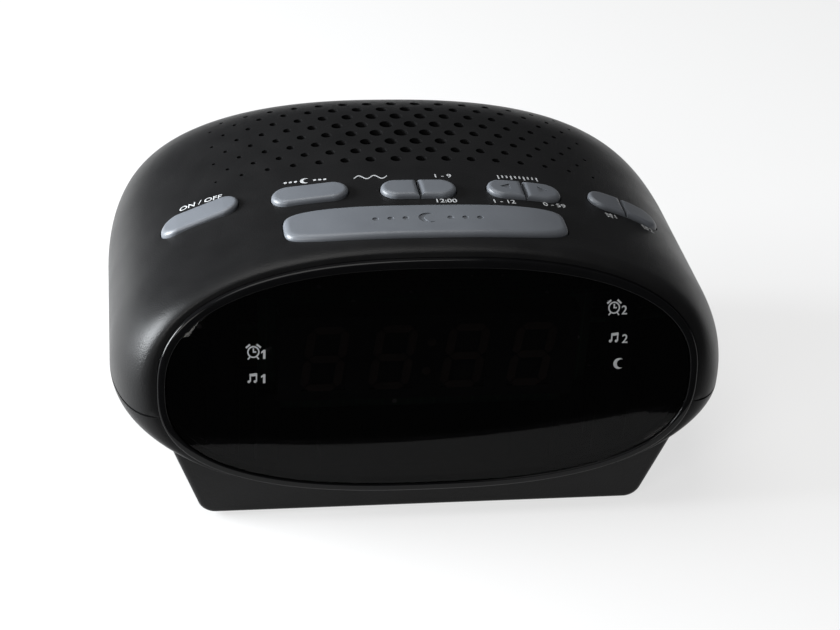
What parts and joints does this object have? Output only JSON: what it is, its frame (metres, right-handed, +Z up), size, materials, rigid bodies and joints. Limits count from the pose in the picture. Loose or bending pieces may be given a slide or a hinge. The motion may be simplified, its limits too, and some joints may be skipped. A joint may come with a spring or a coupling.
{
  "type": "clock radio",
  "caption": "Bedside clock radio: oval black case on a tapered pedestal, curved smoked window in front, snooze bar, row of keys and perforated speaker grille on top.",
  "frame": {"origin": "on the table under the middle of the case", "axes": "+X to the right as seen from the front, +Y from the window to the back, +Z up"},
  "size_m": [0.168, 0.119, 0.078],
  "materials": {
    "case_black": "fine-grained moulded black plastic",
    "bezel_gloss": "polished black ring",
    "lens_smoke": "smoked clear acrylic window",
    "key_grey": "satin dark grey key caps",
    "board": "green solder-masked board",
    "component_black": "moulded component bodies",
    "display_red": "display module with pale segments",
    "pressed_steel": "zinc-plated pressed frame",
    "ferrite": "dark sintered ferrite",
    "paper": "pressed paper cone",
    "screw_steel": "zinc-plated screws",
    "copper_wire": "enamelled copper winding",
    "core_steel": "laminated transformer steel",
    "coil_tape": "yellow tape over the winding",
    "cell_jacket": "plain printed cell jacket",
    "contact_plate": "nickel-plated contact",
    "gland_rubber": "moulded bush",
    "foot_rubber": "soft pads"
  },
  "bodies": {
    "case": {"top_cabinet": "case_black", "bottom_cabinet": "case_black", "lens_bezel": "bezel_gloss", "front_lens": "lens_smoke", "key_board": "board", "display_board": "board", "main_board": "board", "tact_switches": "component_black", "main_board_parts": "component_black", "led_display": "display_red", "speaker_frame": "pressed_steel", "speaker_magnet": "ferrite", "speaker_screws": "screw_steel", "cabinet_screws": "screw_steel", "board_screws": "screw_steel", "ferrite_rod": "ferrite", "rod_coil": "copper_wire", "transformer_core": "core_steel", "transformer_coil": "coil_tape", "backup_cells": "cell_jacket", "battery_contacts": "contact_plate", "cord_gland": "gland_rubber", "rubber_feet": "foot_rubber"},
    "battery_door": {"battery_door": "case_black"},
    "speaker_cone": {"speaker_cone": "paper"},
    "snooze_key": {"snooze_key": "key_grey"},
    "power_key": {"power_key": "key_grey"},
    "sleep_key": {"sleep_key": "key_grey"},
    "band_key": {"band_key": "key_grey"},
    "preset_key": {"preset_key": "key_grey"},
    "tune_down_key": {"tune_down_key": "key_grey"},
    "tune_up_key": {"tune_up_key": "key_grey"},
    "alarm_one_key": {"alarm_one_key": "key_grey"},
    "alarm_two_key": {"alarm_two_key": "key_grey"}
  },
  "joints": [
    {"name": "snooze_key_press", "type": "slide", "parent": "case", "child": "snooze_key", "axis": [0, 0, -1], "range_m": [0, 0.0008], "stiffness_N_per_m": 500, "springref_m": -0.001},
    {"name": "power_key_press", "type": "slide", "parent": "case", "child": "power_key", "axis": [0, 0, -1], "range_m": [0, 0.0008], "stiffness_N_per_m": 500, "springref_m": -0.001},
    {"name": "sleep_key_press", "type": "slide", "parent": "case", "child": "sleep_key", "axis": [0, 0, -1], "range_m": [0, 0.0008], "stiffness_N_per_m": 500, "springref_m": -0.001},
    {"name": "band_key_press", "type": "slide", "parent": "case", "child": "band_key", "axis": [0, 0, -1], "range_m": [0, 0.0008], "stiffness_N_per_m": 500, "springref_m": -0.001},
    {"name": "preset_key_press", "type": "slide", "parent": "case", "child": "preset_key", "axis": [0, 0, -1], "range_m": [0, 0.0008], "stiffness_N_per_m": 500, "springref_m": -0.001},
    {"name": "tune_down_key_press", "type": "slide", "parent": "case", "child": "tune_down_key", "axis": [0, 0, -1], "range_m": [0, 0.0008], "stiffness_N_per_m": 500, "springref_m": -0.001},
    {"name": "tune_up_key_press", "type": "slide", "parent": "case", "child": "tune_up_key", "axis": [0, 0, -1], "range_m": [0, 0.0008], "stiffness_N_per_m": 500, "springref_m": -0.001},
    {"name": "alarm_one_key_press", "type": "slide", "parent": "case", "child": "alarm_one_key", "axis": [0, 0, -1], "range_m": [0, 0.0008], "stiffness_N_per_m": 500, "springref_m": -0.001},
    {"name": "alarm_two_key_press", "type": "slide", "parent": "case", "child": "alarm_two_key", "axis": [0, 0, -1], "range_m": [0, 0.0008], "stiffness_N_per_m": 500, "springref_m": -0.001},
    {"name": "battery_door_hinge", "type": "hinge", "parent": "case", "child": "battery_door", "pos_m": [0, -0.0132, 0.0008], "axis": [1, 0, 0], "range_deg": [0, 95]},
    {"name": "speaker_cone_stroke", "type": "slide", "parent": "case", "child": "speaker_cone", "axis": [0, 0, 1], "range_m": [-0.0005, 0.0005], "stiffness_N_per_m": 1500}
  ]
}
